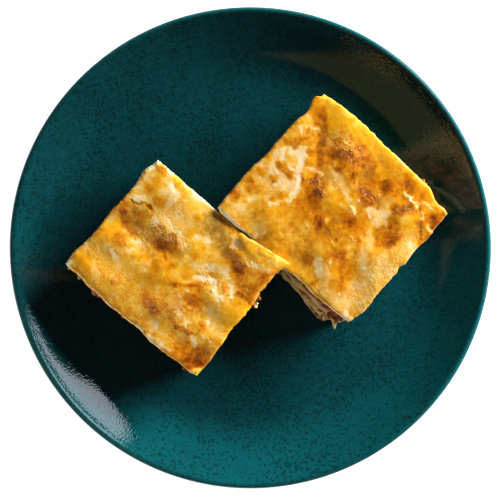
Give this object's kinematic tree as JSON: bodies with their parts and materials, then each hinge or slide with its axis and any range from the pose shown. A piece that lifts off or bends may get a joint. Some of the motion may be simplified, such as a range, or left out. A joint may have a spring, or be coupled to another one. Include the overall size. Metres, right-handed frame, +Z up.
{
  "type": "lasagne slice",
  "caption": "Cut squares of layered baked lasagne with browned cheese tops, leaning on each other on a round coupe plate.",
  "frame": {"origin": "middle of the plate's foot, on the table", "axes": "+Z up, +Y away from the diner, +X to the diner's right"},
  "size_m": [0.2698, 0.2698, 0.0359],
  "materials": {
    "glaze": "dark teal reactive glaze with fine darker speckles",
    "browned_cheese": "baked golden, browned in patches, oily",
    "pasta": "cooked egg pasta, damp",
    "meat_sauce": "minced meat in tomato sauce, moist and crumbly"
  },
  "bodies": {
    "root": {"plate": "glaze", "left_sheet_1": "pasta", "left_meat_1": "meat_sauce", "left_sheet_2": "pasta", "left_meat_2": "meat_sauce", "left_sheet_3": "pasta", "left_meat_3": "meat_sauce", "left_top": "browned_cheese", "right_sheet_1": "pasta", "right_meat_1": "meat_sauce", "right_sheet_2": "pasta", "right_meat_2": "meat_sauce", "right_sheet_3": "pasta", "right_meat_3": "meat_sauce", "right_top": "browned_cheese"}
  },
  "joints": []
}
